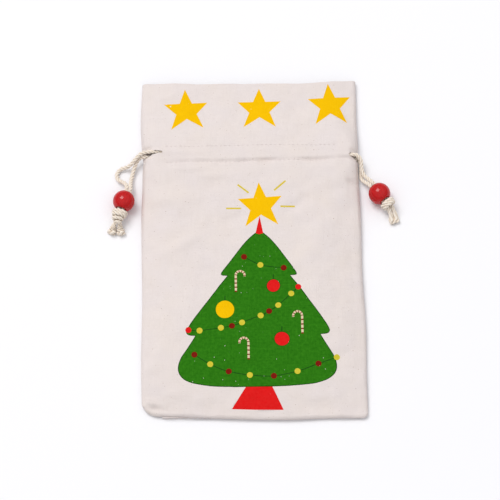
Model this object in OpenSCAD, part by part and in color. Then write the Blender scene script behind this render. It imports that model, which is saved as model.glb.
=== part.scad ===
// Drawstring gift pouch, lying flat with its mouth towards +Y.
// The origin is the centre of the rectangle that the back panel rests on.

/* [Pouch] */
// Width of the flat pouch
pouch_w = 150; // [140:1:160]
// Length from the bottom seam to the mouth
pouch_l = 250; // [240:1:260]
// Thickness of the cloth
cloth = 0.5; // [0.4:0.05:0.6]
// Height of the top surface over the drawstring tunnel
casing_z = 13; // [13:0.1:14]
// Height of the top surface at the mouth
mouth_z = 10; // [10:0.1:11]
// Height of the top surface beside the bottom seam
foot_z = 8.6; // [8:0.1:9]

/* [Drawstring tunnel] */
// Middle of the tunnel, measured from the pouch's centre towards the mouth
tunnel_y = 67.6; // [66:0.2:69]
// Width of the tunnel between its two rows of stitches
tunnel_w = 10; // [9.6:0.2:11]
// Room in the tunnel across the cord
tunnel_room = 3; // [3:0.1:3.2]
// How far the two cords lie apart in the tunnel
cord_pitch = 4; // [3.4:0.2:4.2]
// Where the tunnel's mouths are, measured from the centre
tunnel_end_x = 61; // [60:0.5:62]
// Width of the gap in the side seam that a pair of strands leaves by
exit_gap = 5.4; // [5.4:0.1:5.6]
// Turned-in cloth below the tunnel's lower stitches
hem_w = 5; // [3:0.5:6]

/* [Cords] */
// Diameter of each cord
cord_d = 2.6; // [2.4:0.1:2.6]
// Where a run in the tunnel ends and a free strand starts
run_start_x = 35; // [34:1:36]
// Where a run in the tunnel ends and its turn starts
run_end_x = 66; // [64:0.5:66]

/* [Beads and knots] */
// Diameter of each bead
bead_d = 15; // [14.6:0.1:15]
// Radius of the hole through each bead
bead_bore_r = 3.2; // [3.1:0.05:3.4]
// Widest diameter of each knot
knot_d = 9.6; // [9:0.1:10]
// Length of each knot along the strands
knot_l = 5.6; // [5:0.1:6]
// Turn of the left bead's hole away from the pouch's length
left_turn = -18.5; // [-19:0.5:-18]
// Turn of the right bead's hole away from the pouch's length
right_turn = 35.5; // [35:0.5:36]

/* [Seams] */
// Width of the side seam allowances inside the pouch
side_seam_w = 10; // [8:0.5:10.5]
// Width of the bottom seam allowance
bottom_seam_w = 9; // [7:0.5:10]
// Length of one stitch
stitch_l = 2.4; // [2:0.1:3]
// Distance from one stitch to the next
stitch_pitch = 4; // [4:0.5:6]

/* [Hidden] */

// Clear gap between neighbouring layers of cloth
gap = 0.1;
half_w = pouch_w / 2;
half_l = pouch_l / 2;
tunnel_low = tunnel_y - tunnel_w / 2;
tunnel_high = tunnel_y + tunnel_w / 2;
left_cord_y = tunnel_y + cord_pitch / 2;
right_cord_y = tunnel_y - cord_pitch / 2;
front_run_z = casing_z - cloth - tunnel_room / 2;
back_run_z = cloth + tunnel_room / 2;
seam_z = casing_z / 2;
cord_sides = 8;
far = 400;
cream = "#e8ddd8";
thread = "#d8cdc6";
cord_colour = "#e6d4be";
bead_colour = "#be1e28";

// Centres of the beads and the strands' routes: each route runs from inside the tunnel, out of its
// mouth, through the bead and the knot, to the cut end of the tail.
left_bead_at = [-87.3, 35.2, 7.5];
right_bead_at = [88.3, 38.3, 7.5];
left_front_route = [
    [-35, 69.6, 11], [-42, 69.6, 11], [-49, 69.6, 11], [-56, 69.6, 11], [-62, 70.1, 11],
    [-67, 70.7, 10.9], [-71.5, 70.7, 10.5], [-74.8, 70.1, 9.9], [-77.4, 68.5, 9], [-79.6, 66.3, 8],
    [-81.8, 64.2, 6.5], [-84.6, 62.6, 4.5], [-87.4, 62.2, 2.9], [-90, 61.5, 2], [-91.9, 59.5, 1.7],
    [-92.6, 56.9, 1.8], [-91.9, 54.3, 2.2], [-90.2, 52.4, 3.1], [-88.1, 50.9, 4.4],
    [-86.3, 48.9, 5.8], [-85.4, 46.1, 6.9], [-85.7, 44, 7.3], [-86.4, 41.9, 7.5], [-88.6, 35.6, 7.5], [-91.1, 28, 7.5],
    [-92.3, 24.3, 6.9], [-93.6, 20.4, 4.8], [-95, 16.4, 2.4], [-96, 12.6, 1.5]
];
left_back_route = [
    [-35, 69.6, 2], [-42, 69.6, 2], [-49, 69.6, 2], [-56, 69.6, 2], [-61.6, 69.2, 2.1],
    [-64.6, 68.8, 3.1], [-67.4, 68.5, 5], [-70.2, 68.5, 6.7], [-73, 68.5, 7.3], [-75.8, 68.1, 6.8],
    [-78, 66.4, 5.8], [-79.5, 63.7, 4.6], [-80.8, 60.2, 3.4], [-81.8, 56.4, 2.6], [-82.5, 52.6, 3.1],
    [-82.8, 48.8, 4.9], [-82.7, 44.4, 7], [-84.4, 39.5, 7.5], [-86, 34.8, 7.5], [-88.5, 27.2, 7.5],
    [-89.7, 23.4, 6.9], [-90, 19.4, 4.8], [-89.6, 15.4, 2.4], [-89, 12, 1.5]
];
right_front_route = [
    [35, 65.6, 11], [42, 65.6, 11], [49, 65.6, 11], [56, 65.6, 11], [63, 65.6, 11],
    [67, 65.9, 10.9], [69.5, 66.4, 10.7], [71.5, 66.7, 10.4], [73.5, 66.3, 10], [75.2, 65.1, 9.3],
    [76.3, 63.3, 8.4], [76.7, 61.1, 7.4], [76.8, 58.4, 6.3], [77.4, 55.5, 5.5], [78.8, 52.8, 5.3],
    [80.9, 50.3, 6.1], [83, 47.9, 7.1], [84.8, 45.6, 7.5], [86.5, 43.2, 7.5], [89.4, 39.1, 7.5],
    [92.3, 35, 7.5], [94.1, 32.6, 7.5], [96.4, 29.2, 6.9], [98.2, 25.4, 4.6], [99.4, 21.8, 2.3],
    [99.8, 18.6, 1.5]
];
right_back_route = [
    [35, 65.6, 2], [42, 65.6, 2], [49, 65.6, 2], [56, 65.6, 2], [63, 65.6, 2], [67, 65.9, 2.1],
    [69.5, 66.4, 2.4], [71.5, 66.7, 2.9], [73.5, 66.3, 3.2], [75.2, 65.1, 3.3], [76.3, 63.3, 3.2],
    [76.6, 61.1, 2.8], [76.5, 58.4, 2.3], [76.4, 55.4, 2], [76.5, 52.7, 2.1], [77.3, 50.4, 3],
    [79, 48.3, 4.7], [81.4, 45.5, 6.7], [84.3, 41.6, 7.5], [87.2, 37.5, 7.5],
    [90.1, 33.4, 7.5], [91.9, 31, 7.5], [94, 27.6, 6.9], [95.4, 24, 4.6], [96.4, 20.6, 2.3],
    [97, 17.6, 1.5]
];

function unit(v) = v / norm(v);
function direction(route, i) =
    unit(route[min(i + 1, len(route) - 1)] - route[max(i - 1, 0)]);
// A vector across the cord that stays level
function across(d) = unit([-d[1], d[0], 0]);
function ring_point(route, i, k) =
    let (d = direction(route, i), a = across(d), b = cross(d, a), t = 360 * k / cord_sides)
    route[i] + cord_d / 2 * (a * cos(t) + b * sin(t));

// A cord along a route: rings of cord_sides points joined by triangles
module cord_tube(route) {
    n = cord_sides;
    rings = len(route);
    points = [for (i = [0 : rings - 1], k = [0 : n - 1]) ring_point(route, i, k)];
    skin = [
        for (i = [0 : rings - 2], k = [0 : n - 1])
            let (a = i * n + k, b = i * n + (k + 1) % n)
                each [[a, b, b + n], [a, b + n, a + n]]
    ];
    start_cap = [for (k = [n - 1 : -1 : 0]) k];
    end_cap = [for (k = [0 : n - 1]) (rings - 1) * n + k];
    color(cord_colour) polyhedron(points, concat([start_cap], skin, [end_cap]));
}

// Height of the top surface along the pouch, as [y, z] from the bottom seam to the mouth
function long_profile(drop) = [
    [-half_l + 1.2 * drop, cloth],
    [-half_l + 0.6 + drop, foot_z * 0.5],
    [-half_l + 3 + drop, foot_z * 0.85 - drop],
    [-half_l + 9, foot_z - drop],
    [-half_l + 30, foot_z + 1.6 - drop],
    [-half_l + 80, casing_z - 1.4 - drop],
    [tunnel_low - 20, casing_z - 0.4 - drop],
    [tunnel_low - 6, casing_z - drop],
    [tunnel_high + 6, casing_z - drop],
    [half_l - 20, mouth_z + 0.6 - drop],
    [half_l, mouth_z - drop]
];

// Height of the top surface across the pouch, as [x, z] from the middle to the right side
function side_profile(drop) = [
    [half_w - 6, casing_z - drop],
    [half_w - 3.2, casing_z - 1.6 - drop],
    [half_w - 1.2 - drop / 2, casing_z - 4.6 - drop],
    [half_w - 0.3 - drop, casing_z - 8],
    [half_w - 1.1 * drop, cloth]
];

// The puffed-up solid under the front cloth, drop millimetres below its outer face
module puffed(drop, extra) {
    right = side_profile(drop);
    left = [for (i = [len(right) - 1 : -1 : 0]) [-right[i][0], right[i][1]]];
    intersection() {
        translate([0, half_l + extra, 0]) rotate([90, 0, 0])
            linear_extrude(pouch_l + 2 * extra) polygon(concat(left, right));
        translate([-half_w - 1, 0, 0]) rotate([90, 0, 90])
            linear_extrude(pouch_w + 2)
                polygon(concat(long_profile(drop), [[half_l + extra, mouth_z - drop], [half_l + extra, cloth]]));
    }
}

// The gap in the cloth that a pair of strands leaves by: side -1 is left, 1 is right
module exit_cut(side, y) {
    inner = side < 0 ? tunnel_end_x : run_end_x + 2;
    x = side < 0 ? -half_w - 1 : inner;
    translate([x, y - exit_gap / 2, cloth]) cube([half_w + 1 - inner, exit_gap, far]);
}

module front_panel() {
    color(cream) difference() {
        intersection() {
            puffed(0, 0);
            translate([-far / 2, -half_l, cloth]) cube([far, pouch_l, far]);
        }
        difference() {
            puffed(cloth, 2);
            translate([-far / 2, -far / 2, -far + cloth]) cube([far, far, far]);
        }
        exit_cut(-1, left_cord_y);
        exit_cut(1, right_cord_y);
    }
}

module back_panel() {
    color(cream) translate([-half_w, -half_l, 0]) cube([pouch_w, pouch_l, cloth]);
}

// A strip of cloth as wide as the tunnel is long, from its outline as [y, z]
module facing(outline) {
    color(cream) translate([-tunnel_end_x, 0, 0]) rotate([90, 0, 90])
        linear_extrude(2 * tunnel_end_x) polygon(outline);
}

// The back panel's turned-in hem: flat on the panel, lifted where it goes over the tunnel
module back_casing_facing() {
    low = cloth + gap;
    lift = cloth + tunnel_room;
    facing([
        [tunnel_low - hem_w, low], [tunnel_low - 0.6, low], [tunnel_low, lift], [tunnel_high, lift],
        [tunnel_high + 0.6, low], [half_l, low], [half_l, low + cloth],
        [tunnel_high + 1, low + cloth], [tunnel_high + 0.4, lift + cloth],
        [tunnel_low - 0.4, lift + cloth], [tunnel_low - 1, low + cloth],
        [tunnel_low - hem_w, low + cloth]
    ]);
}

// The front panel's turned-in hem, which follows the front panel and drops under the tunnel
module front_casing_facing() {
    high = casing_z - cloth - gap;
    drop = casing_z - cloth - tunnel_room;
    collar = half_l - 20;
    collar_z = mouth_z + 0.6 - cloth - gap;
    mouth = mouth_z - cloth - gap;
    bend = tunnel_high + 6;
    facing([
        [tunnel_low - hem_w, high], [tunnel_low - 0.6, high], [tunnel_low, drop],
        [tunnel_high, drop], [tunnel_high + 0.6, high], [bend, high], [collar, collar_z],
        [half_l, mouth], [half_l, mouth - cloth], [collar, collar_z - cloth],
        [bend, high - cloth], [tunnel_high + 1, high - cloth], [tunnel_high + 0.4, drop - cloth],
        [tunnel_low - 0.4, drop - cloth], [tunnel_low - 1, high - cloth],
        [tunnel_low - hem_w, high - cloth]
    ]);
}

module bottom_seam_allowance() {
    color(cream) translate([-half_w + 14, -half_l + 1.6, cloth + gap])
        cube([pouch_w - 28, bottom_seam_w, 2 * cloth]);
}

// The two turned-in edges of the side seam, open where the cords pass: side -1 is left, 1 is right
module seam_allowance(side) {
    x = side < 0 ? -half_w + 2.2 : half_w - 2.2 - side_seam_w;
    notch_low = tunnel_low - 0.5;
    notch_high = tunnel_high + 0.5;
    start = -half_l + 12;
    color(cream) translate([x, 0, seam_z - cloth]) {
        translate([0, start, 0]) cube([side_seam_w, notch_low - start, 2 * cloth]);
        translate([0, notch_high, 0]) cube([side_seam_w, half_l - 1 - notch_high, 2 * cloth]);
    }
}

// Stitches in a row along +X from the point at
module stitch_row(at, length) {
    count = floor((length - stitch_l) / stitch_pitch) + 1;
    color(thread) translate(at)
        for (i = [0 : count - 1])
            translate([i * stitch_pitch, -0.25, 0]) cube([stitch_l, 0.5, 0.3]);
}

module front_casing_stitching() {
    row_l = 2 * (tunnel_end_x - 1);
    for (y = [tunnel_low - 2.4, tunnel_high + 2.4])
        stitch_row([-tunnel_end_x + 1, y, casing_z], row_l);
}

module back_casing_stitching() {
    row_l = 2 * (tunnel_end_x - 1);
    for (y = [tunnel_low - 2.4, tunnel_high + 2.4])
        stitch_row([-tunnel_end_x + 1, y, 2 * cloth + gap], row_l);
}

module bottom_seam_stitching() {
    stitch_row([-half_w + 16, -half_l + 4, 3 * cloth + gap], pouch_w - 32);
}

module seam_stitching(side) {
    start = -half_l + 14;
    lower = tunnel_low - 1 - start;
    upper = half_l - 3 - tunnel_high - 1;
    for (row = [[start, lower], [tunnel_high + 1, upper]])
        translate([side * (half_w - 4), row[0], seam_z + cloth]) rotate([0, 0, 90])
            stitch_row([0, 0, 0], row[1]);
}

// The cord's two straight runs in the tunnel: side is where its free strands are
module cord_runs(side, y) {
    length = run_start_x + run_end_x;
    for (z = [front_run_z, back_run_z])
        color(cord_colour) translate([side * run_start_x, y, z]) rotate([0, -side * 90, 0])
            cylinder(h = length, d = cord_d, $fn = 32);
}

// The cord's turn from the front tunnel to the back one, at the side away from its free strands
module cord_turn(side, y) {
    turn_r = (front_run_z - back_run_z) / 2;
    color(cord_colour) translate([-side * run_end_x, y, (front_run_z + back_run_z) / 2])
        rotate([90, 0, 0]) rotate([0, 0, side < 0 ? -90 : 90])
            rotate_extrude(angle = 180, $fn = 64) translate([turn_r, 0]) circle(d = cord_d, $fn = 32);
}

// Puts a shape made along +Y at a bead's centre, in line with its hole
module on_strands(at, turn) {
    translate(at) rotate([0, 0, turn]) children();
}

module bead(at, turn) {
    color(bead_colour) on_strands(at, turn) difference() {
        sphere(d = bead_d, $fn = 96);
        rotate([90, 0, 0]) cylinder(h = bead_d + 2, r = bead_bore_r, center = true, $fn = 48);
    }
}

// The knot that holds the bead: a thick ring of cord round the strands, hollowed to the bead's curve
module knot(at, turn) {
    inner_r = cord_d + 0.3;
    outer_r = knot_d / 2;
    first = bead_d / 2 - 2.2;
    color(cord_colour) on_strands(at, turn) difference() {
        translate([0, -first, 0]) rotate([90, 0, 0]) rotate_extrude($fn = 64)
            polygon([
                [inner_r, 0], [outer_r - 0.5, 0], [outer_r, 1], [outer_r, knot_l * 0.5],
                [outer_r - 0.7, knot_l * 0.8], [outer_r - 1.6, knot_l], [inner_r, knot_l]
            ]);
        sphere(d = bead_d + 0.6, $fn = 96);
    }
}

module left_seam_allowance() { seam_allowance(-1); }
module right_seam_allowance() { seam_allowance(1); }
module left_seam_stitching() { seam_stitching(-1); }
module right_seam_stitching() { seam_stitching(1); }
module left_cord_runs() { cord_runs(-1, left_cord_y); }
module right_cord_runs() { cord_runs(1, right_cord_y); }
module left_cord_turn() { cord_turn(-1, left_cord_y); }
module right_cord_turn() { cord_turn(1, right_cord_y); }
module left_front_strand() { cord_tube(left_front_route); }
module left_back_strand() { cord_tube(left_back_route); }
module right_front_strand() { cord_tube(right_front_route); }
module right_back_strand() { cord_tube(right_back_route); }
module left_knot() { knot(left_bead_at, left_turn); }
module right_knot() { knot(right_bead_at, right_turn); }
module left_bead() { bead(left_bead_at, left_turn); }
module right_bead() { bead(right_bead_at, right_turn); }

back_panel();
front_panel();
back_casing_facing();
front_casing_facing();
bottom_seam_allowance();
left_seam_allowance();
right_seam_allowance();
front_casing_stitching();
back_casing_stitching();
bottom_seam_stitching();
left_seam_stitching();
right_seam_stitching();
left_cord_runs();
left_cord_turn();
left_front_strand();
left_back_strand();
left_knot();
right_cord_runs();
right_cord_turn();
right_front_strand();
right_back_strand();
right_knot();
left_bead();
right_bead();
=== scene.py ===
"""Looks of the drawstring gift pouch: printed cotton, twisted cords, lacquered beads.

Shapes are worked out in millimetres in the frame's axes and scaled to metres when a mesh is made.
Plan coordinates (x, y) are places on the flat pouch; the surface functions lift them into space.
"""

import math

import bpy
import numpy as np
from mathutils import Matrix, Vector, noise
from mathutils.geometry import delaunay_2d_cdt


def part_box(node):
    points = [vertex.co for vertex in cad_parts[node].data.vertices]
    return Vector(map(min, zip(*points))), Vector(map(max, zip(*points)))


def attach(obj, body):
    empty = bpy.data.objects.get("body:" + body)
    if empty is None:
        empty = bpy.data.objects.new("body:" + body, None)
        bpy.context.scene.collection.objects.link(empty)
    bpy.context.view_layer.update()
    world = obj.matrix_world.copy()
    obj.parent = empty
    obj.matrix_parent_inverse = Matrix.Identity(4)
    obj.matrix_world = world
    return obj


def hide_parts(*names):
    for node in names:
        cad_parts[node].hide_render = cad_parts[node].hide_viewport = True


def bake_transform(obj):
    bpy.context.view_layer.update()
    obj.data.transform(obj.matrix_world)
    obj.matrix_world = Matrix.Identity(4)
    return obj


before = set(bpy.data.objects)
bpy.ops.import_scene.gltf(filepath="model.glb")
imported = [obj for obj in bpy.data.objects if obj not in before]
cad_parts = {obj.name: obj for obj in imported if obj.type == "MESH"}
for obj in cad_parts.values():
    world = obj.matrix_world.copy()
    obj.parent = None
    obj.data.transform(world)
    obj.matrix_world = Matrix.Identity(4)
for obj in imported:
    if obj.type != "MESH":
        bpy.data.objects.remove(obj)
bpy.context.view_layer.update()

MM = 0.001
UP = Vector((0, 0, 1))
SIDES = (("left", -1), ("right", 1))

# ---- camera

TARGET = Vector((-0.0012, 0.00065, 0))
FORWARD = Vector((0.0148, 0.99989, 0))
ELEVATION = math.radians(67.2)
DISTANCE = 1.608
LENS, SENSOR = 169.3, 36


def linked(name, data):
    thing = bpy.data.objects.new(name, data)
    bpy.context.scene.collection.objects.link(thing)
    return thing


def aimed(name, data, at, way):
    thing = linked(name, data)
    thing.location = at
    thing.rotation_mode = "QUATERNION"
    thing.rotation_quaternion = way.to_track_quat("-Z", "Y")
    return thing


def make_camera():
    data = bpy.data.cameras.new("camera")
    data.lens = LENS
    data.sensor_width = SENSOR
    data.clip_end = 20
    back = UP * math.sin(ELEVATION) - FORWARD * math.cos(ELEVATION)
    bpy.context.scene.camera = aimed("camera", data, TARGET + back * DISTANCE, -back)


make_camera()

# ---- materials


class Nodes:
    """A node tree with short ways to add nodes."""

    def __init__(self, tree):
        self.tree = tree

    def add(self, kind, **inputs):
        node = self.tree.nodes.new(kind)
        for key, value in inputs.items():
            self.feed(node.inputs[key], value)
        return node

    def feed(self, socket, value):
        if isinstance(value, bpy.types.NodeSocket):
            self.tree.links.new(value, socket)
        else:
            socket.default_value = value

    def attribute(self, name):
        node = self.add("ShaderNodeAttribute")
        node.attribute_name = name
        return node.outputs["Vector"]

    def math(self, operation, a, b=0.0):
        node = self.add("ShaderNodeMath")
        node.operation = operation
        self.feed(node.inputs[0], a)
        self.feed(node.inputs[1], b)
        return node.outputs[0]

    def times(self, a, b):
        return self.math("MULTIPLY", a, b)

    def plus(self, a, b):
        return self.math("ADD", a, b)

    def scaled(self, vector, scale):
        return self.add("ShaderNodeMapping", Vector=vector, Scale=scale).outputs["Vector"]

    def noise(self, vector, scale, detail=2.0):
        return self.add("ShaderNodeTexNoise", Vector=vector, Scale=scale, Detail=detail).outputs["Fac"]

    def ramp(self, fac, low, high, from_value=0.0, to_value=1.0):
        limits = {"From Min": low, "From Max": high, "To Min": from_value, "To Max": to_value}
        return self.add("ShaderNodeMapRange", Value=fac, **limits).outputs["Result"]

    def mix(self, fac, a, b):
        node = self.add("ShaderNodeMix")
        node.data_type = "RGBA"
        self.feed(node.inputs[0], fac)
        for socket, value in ((node.inputs[6], a), (node.inputs[7], b)):
            self.feed(socket, (*value, 1) if isinstance(value, tuple) else value)
        return node.outputs[2]


class Material(Nodes):
    def __init__(self, name, roughness, specular=0.5, sheen=0.0, coat=0.0, coat_roughness=0.1):
        self.material = bpy.data.materials.new(name)
        self.material.use_nodes = True
        super().__init__(self.material.node_tree)
        self.sockets = self.tree.nodes["Principled BSDF"].inputs
        looks = {"Roughness": roughness, "Specular IOR Level": specular, "Sheen Weight": sheen,
                 "Sheen Roughness": 0.5, "Coat Weight": coat, "Coat Roughness": coat_roughness}
        for key, value in looks.items():
            self.sockets[key].default_value = value

    def finish(self, colour, height, distance):
        self.feed(self.sockets["Base Color"], colour)
        bump = self.add("ShaderNodeBump", Height=height, Distance=distance, Strength=1.0)
        self.feed(self.sockets["Normal"], bump.outputs["Normal"])
        return self.material


CLOTH = (0.775, 0.695, 0.675)
CLOTH_SHADE = (0.695, 0.605, 0.585)
COOL_CLOTH = (0.762, 0.697, 0.692)
WARM_CLOTH = (0.785, 0.705, 0.655)
SEED_FLECK = (0.28, 0.17, 0.10)
LACQUER_DARK = (0.42, 0.0015, 0.003)
LACQUER_LIGHT = (0.58, 0.005, 0.006)
THREAD_PITCH = 0.42
# Scale of the noise across and along the cloth's thicker threads
SLUB_ACROSS, SLUB_ALONG = 1.9, 0.07
# Bump heights in metres
WEAVE_HEIGHT = 0.00012
FIBRE_HEIGHT = 0.00022
LACQUER_HEIGHT = 0.00025


def weave(n, place):
    """Heights of a plain weave and of its thicker threads, 0 to 1."""
    split = n.add("ShaderNodeSeparateXYZ", Vector=place)
    turns = 2 * math.pi / THREAD_PITCH
    across = n.math("SINE", n.times(split.outputs["X"], turns))
    along = n.math("SINE", n.times(split.outputs["Y"], turns))
    checks = n.ramp(n.times(across, along), -1, 1)
    warp = n.noise(n.scaled(place, (SLUB_ACROSS, SLUB_ALONG, 1)), 1.0, 3)
    weft = n.noise(n.scaled(place, (SLUB_ALONG, SLUB_ACROSS, 1)), 1.0, 3)
    slubs = n.ramp(n.math("MAXIMUM", warp, weft), 0.42, 0.78)
    return checks, slubs


def cotton(name):
    """Undyed plain-woven cotton, with slubs, faint mottling and a few seed flecks."""
    n = Material(name, roughness=0.92, specular=0.1, sheen=0.05)
    place = n.attribute("flat_at")
    checks, slubs = weave(n, place)
    mottle = n.ramp(n.noise(place, 0.045, 3), 0.3, 0.7)
    body = n.mix(n.times(slubs, 0.55), CLOTH, CLOTH_SHADE)
    body = n.mix(0.5, body, n.mix(mottle, COOL_CLOTH, WARM_CLOTH))
    seeds = n.ramp(n.noise(n.scaled(place, (1, 1.6, 1)), 0.9, 0), 0.80, 0.86)
    colour = n.mix(n.times(seeds, 0.6), body, SEED_FLECK)
    height = n.plus(n.times(checks, 0.4), slubs)
    return n.finish(colour, height, WEAVE_HEIGHT)


def ink(name, colour, lighter, gaps):
    """Screen-printed ink on the same weave, thin on raised threads and with a few missed spots."""
    n = Material(name, roughness=0.85, specular=0.03)
    place = n.attribute("flat_at")
    checks, slubs = weave(n, place)
    thin = n.times(n.plus(checks, slubs), gaps)
    patches = n.ramp(n.noise(place, 0.5, 4), 0.35, 0.75, 0.0, 0.35)
    body = n.mix(n.plus(thin, patches), colour, lighter)
    missed = n.ramp(n.noise(n.scaled(place, (1.0, 0.6, 1)), 0.7, 1), 0.755, 0.79)
    body = n.mix(missed, body, CLOTH)
    height = n.plus(n.times(checks, 0.4), slubs)
    return n.finish(body, height, WEAVE_HEIGHT)


def yarn(name, ridge, hollow_shade_and_dark_fibre, tuft):
    """Twisted cotton, with painted shade in the hollows between its plies."""
    n = Material(name, roughness=0.9, specular=0.1, sheen=0.15)
    place = n.attribute("fibre_at")
    lay = n.add("ShaderNodeSeparateXYZ", Vector=n.attribute("lay"))
    fibres = n.noise(place, 3.2, 3)
    tufts = n.noise(n.scaled(place, (1, 1, 2.5)), 1.1, 2)
    # Painted shade: where the lay is low, in the hollows between the plies, the darker colour is painted
    body = n.mix(n.ramp(lay.outputs["X"], 0.58, 0.94), hollow_shade_and_dark_fibre, ridge)
    body = n.mix(n.ramp(fibres, 0.35, 0.7, 0.35, 0.0), body, hollow_shade_and_dark_fibre)
    body = n.mix(n.ramp(tufts, 0.35, 0.75, 0.0, 0.4), body, tuft)
    return n.finish(body, n.plus(fibres, tufts), FIBRE_HEIGHT)


def lacquer(name):
    """Glossy red lacquer over turned wood, whose grain shows faintly."""
    n = Material(name, roughness=0.45, specular=0.0, coat=0.75, coat_roughness=0.12)
    place = n.attribute("flat_at")
    grain = n.noise(n.scaled(place, (0.9, 0.9, 0.12)), 1.3, 3)
    colour = n.mix(n.ramp(grain, 0.3, 0.7), LACQUER_DARK, LACQUER_LIGHT)
    dimples = n.noise(place, 0.35, 1)
    return n.finish(colour, n.plus(dimples, n.times(grain, 0.25)), LACQUER_HEIGHT)


COTTON = cotton("cotton")
# Each ink's colour, its lighter colour where it is thin, and how much the weave thins it
INKS = {
    "gold": ((0.88, 0.495, 0.001), (0.90, 0.55, 0.005), 0.06),
    "green": ((0.012, 0.122, 0.003), (0.05, 0.26, 0.012), 0.3),
    "dark_green": ((0.008, 0.06, 0.006), (0.02, 0.10, 0.012), 0.25),
    "red": ((0.70, 0.008, 0.009), (0.76, 0.03, 0.025), 0.12),
    "dark_red": ((0.17, 0.006, 0.003), (0.25, 0.02, 0.01), 0.25),
    "yellow": ((0.60, 0.50, 0.02), (0.70, 0.62, 0.10), 0.2),
    "ray": ((0.66, 0.50, 0.02), (0.74, 0.62, 0.2), 0.2),
    "cream": ((0.72, 0.56, 0.36), (0.76, 0.64, 0.46), 0.2),
}
PRINT_MATERIALS = [COTTON, *(ink(name + "_ink", *looks) for name, looks in INKS.items())]
INK_INDEX = {name: i + 1 for i, name in enumerate(INKS)}
# Yarns: colour on the ridges of the plies, the darker colour painted as shade in the hollows between them and
# also used for darker fibres, and of loose tufts
CORD_YARN = yarn("cord_yarn", (0.93, 0.845, 0.75), (0.735, 0.62, 0.50), (0.93, 0.86, 0.78))
SEWING_THREAD = yarn("sewing_thread", (0.79, 0.71, 0.69), (0.73, 0.65, 0.63), (0.80, 0.72, 0.70))
RED_LACQUER = lacquer("red_lacquer")

# ---- mesh helpers


def new_piece(name, points, faces, materials, smooth=True):
    """A mesh object from points in millimetres."""
    mesh = bpy.data.meshes.new(name)
    mesh.from_pydata((np.asarray(points, float) * MM).tolist(), [], faces)
    for material in materials:
        mesh.materials.append(material)
    mesh.polygons.foreach_set("use_smooth", [smooth] * len(mesh.polygons))
    mesh.update()
    return linked(name, mesh)


def tube_faces(rings, sides, closed=False):
    """Faces between rings of points, with a cap at both ends or closed round like a hoop."""
    faces = [(i * sides + k, i * sides + (k + 1) % sides,
              (i + 1) % rings * sides + (k + 1) % sides, (i + 1) % rings * sides + k)
             for i in range(rings if closed else rings - 1) for k in range(sides)]
    if not closed:
        faces += [tuple(range(sides - 1, -1, -1)), tuple(range((rings - 1) * sides, rings * sides))]
    return faces


def declare(piece, node, body=None):
    """Hides the CAD part that a piece replaces and, when a body is given, attaches the piece to it."""
    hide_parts(node)
    if body:
        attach(piece, body)


def store(piece, name, vectors):
    """Keeps a vector for each point, for the materials to read."""
    attribute = piece.data.attributes.new(name, "FLOAT_VECTOR", "POINT")
    attribute.data.foreach_set("vector", np.asarray(vectors, np.float32).ravel())


def unit(vectors):
    vectors = np.asarray(vectors, float)
    return vectors / np.maximum(np.linalg.norm(vectors, axis=-1, keepdims=True), 1e-12)


def smoothstep(low, high, value):
    t = np.clip((np.asarray(value, float) - low) / (high - low), 0, 1)
    return t * t * (3 - 2 * t)


def bell(value, width):
    """1 at zero, falling off smoothly over that width on both sides."""
    return np.exp(-((np.asarray(value, float) / width) ** 2))


def ripple(x, y, size, seed):
    """Smooth noise about -1 to 1 with features of that size in millimetres."""
    return np.array([noise.noise((a / size, b / size, seed)) for a, b in zip(x, y)])


# ---- cords

# The cord's diameter in metres, and the wider one over a strand's soft plies
CORD_D = 0.0026
SOFT_D = 2.9
# Radius and offset of the three plies, relative to each other
PLY_R = 0.33
PLY_OFFSET = 0.32
# Length of one turn of the plies, and how uneven the cord is
PLY_TWIST = 8.4
UNEVEN = 0.06
# Points round a cord, and from ring to ring
RING = 24
STEP = 0.45
# Length of a rounded end, and of the tail that may fluff open
END_ROUND = 1.4
TAIL = 9.0
# Lowest that a cord comes, and how much of its shape is left where it is pressed flat there
CORD_LOW = 0.1
PRESSED = 0.02

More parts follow.
